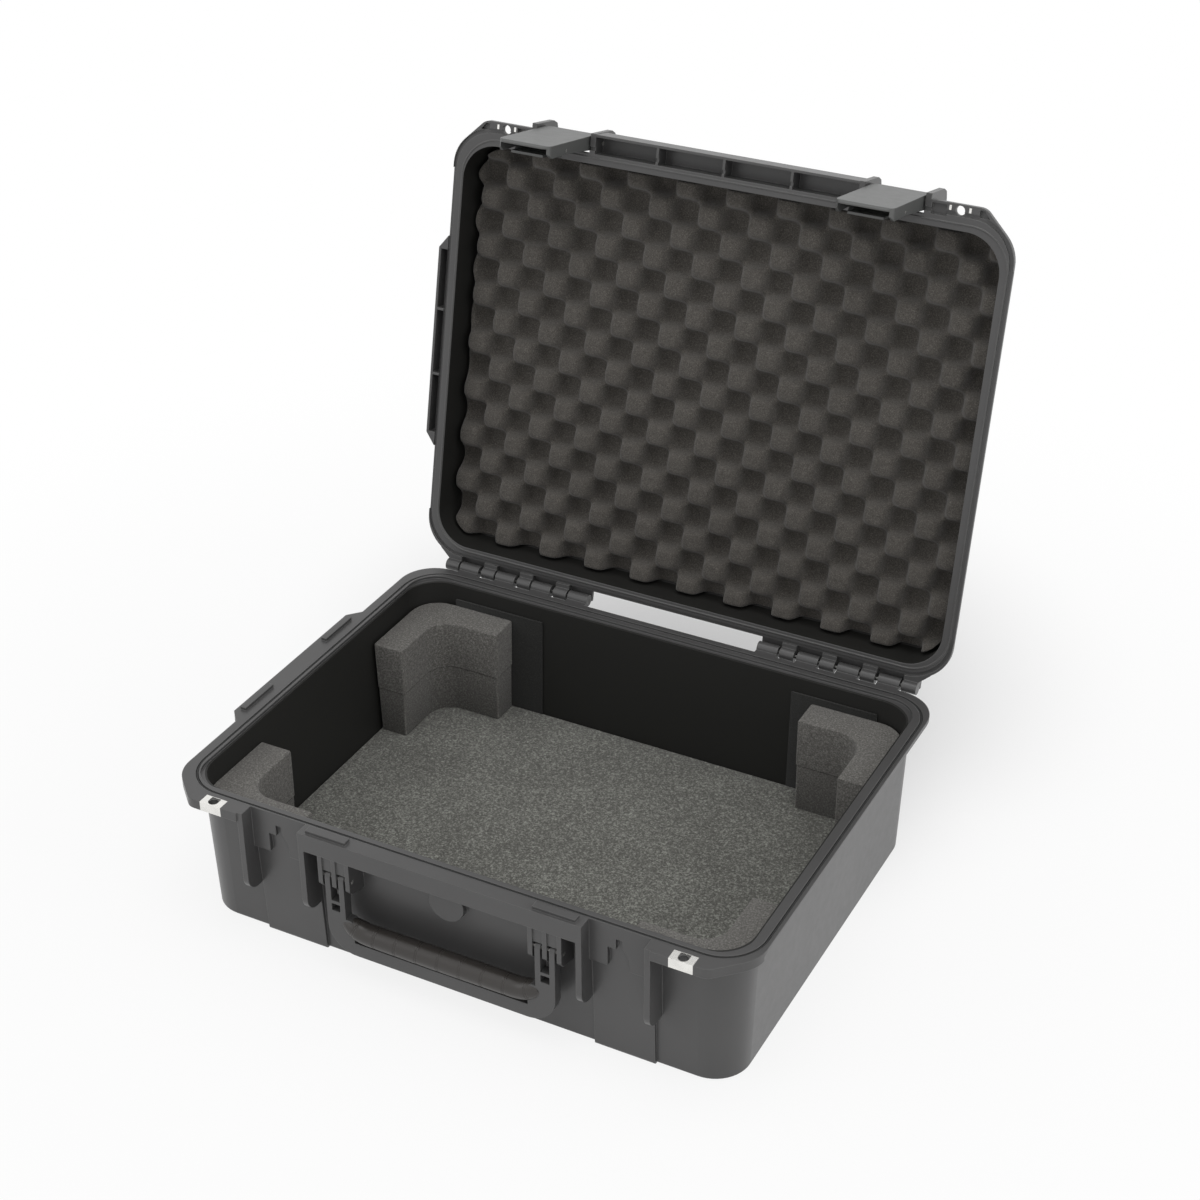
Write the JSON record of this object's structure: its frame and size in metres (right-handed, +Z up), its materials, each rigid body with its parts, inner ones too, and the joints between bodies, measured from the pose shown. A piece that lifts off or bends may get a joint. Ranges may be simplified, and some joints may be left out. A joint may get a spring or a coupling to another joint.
{
  "type": "pedalboard case",
  "caption": "Moulded carrying case with a hinged lid, trigger latches, folding handles, padlock holes and a foam lining with corner blocks and convoluted lid foam.",
  "frame": {"origin": "centre of the base's flat underside", "axes": "+Z up, front with handle and latches towards -Y, hinge along X at the back"},
  "size_m": [0.5928, 0.6104, 0.616],
  "materials": {
    "case_plastic": "fine moulded texture, satin",
    "latch_plastic": "fine moulded texture, satin",
    "grip_rubber": "smooth soft overmould",
    "seal_rubber": "matte",
    "steel": "bright stainless",
    "block_foam": "closed-cell polyethylene foam",
    "lid_foam": "open-cell convoluted foam",
    "backing_sheet": "matte"
  },
  "bodies": {
    "base": {"base_shell": "case_plastic", "hinge_pin_left": "steel", "hinge_pin_right": "steel", "front_handle_pin_left": "steel", "front_handle_pin_right": "steel", "side_handle_pin_front": "steel", "side_handle_pin_rear": "steel", "padlock_plate_base_left": "steel", "padlock_plate_base_right": "steel", "pressure_valve_body": "case_plastic", "pressure_valve_seal": "seal_rubber", "pressure_valve_nut": "case_plastic", "floor_foam": "block_foam", "rim_gasket": "seal_rubber", "corner_block_back_left": "block_foam", "corner_block_back_right": "block_foam", "corner_block_front_left": "block_foam", "corner_block_front_right": "block_foam", "backing_sheet_left": "backing_sheet", "backing_sheet_right": "backing_sheet"},
    "lid": {"lid_shell": "case_plastic", "lid_foam": "lid_foam", "padlock_plate_lid_left": "steel", "padlock_plate_lid_right": "steel", "latch_pivot_pin_left": "steel", "latch_pivot_pin_right": "steel"},
    "front_handle": {"front_handle_frame": "case_plastic", "front_handle_grip": "grip_rubber"},
    "side_handle": {"side_handle_frame": "case_plastic", "side_handle_grip": "grip_rubber"},
    "latch_left": {"latch_lever_left": "latch_plastic", "trigger_pin_left": "steel", "trigger_spring_left": "steel"},
    "trigger_left": {"latch_trigger_left": "latch_plastic"},
    "latch_right": {"latch_lever_right": "latch_plastic", "trigger_pin_right": "steel", "trigger_spring_right": "steel"},
    "trigger_right": {"latch_trigger_right": "latch_plastic"}
  },
  "joints": [
    {"name": "lid_hinge", "type": "hinge", "parent": "base", "child": "lid", "pos_m": [0, 0.2335, 0.146], "axis": [1, 0, 0], "range_deg": [0, 102.1]},
    {"name": "front_handle_swing", "type": "hinge", "parent": "base", "child": "front_handle", "pos_m": [0, -0.22352, 0.106], "axis": [-1, 0, 0], "range_deg": [0, 92]},
    {"name": "side_handle_swing", "type": "hinge", "parent": "base", "child": "side_handle", "pos_m": [-0.29302, 0, 0.106], "axis": [0, 1, 0], "range_deg": [0, 92]},
    {"name": "latch_left_swing", "type": "hinge", "parent": "lid", "child": "latch_left", "pos_m": [-0.17025, 0.34613, 0.59026], "axis": [-1, 0, 0], "range_deg": [-4, 110]},
    {"name": "trigger_left_press", "type": "hinge", "parent": "latch_left", "child": "trigger_left", "pos_m": [-0.17025, 0.28519, 0.60179], "axis": [-1, 0, 0], "range_deg": [0, 12], "stiffness_Nm_per_rad": 0.05, "springref_deg": -11.46},
    {"name": "latch_right_swing", "type": "hinge", "parent": "lid", "child": "latch_right", "pos_m": [0.17025, 0.34613, 0.59026], "axis": [-1, 0, 0], "range_deg": [-4, 110]},
    {"name": "trigger_right_press", "type": "hinge", "parent": "latch_right", "child": "trigger_right", "pos_m": [0.17025, 0.28519, 0.60179], "axis": [-1, 0, 0], "range_deg": [0, 12], "stiffness_Nm_per_rad": 0.05, "springref_deg": -11.46}
  ]
}
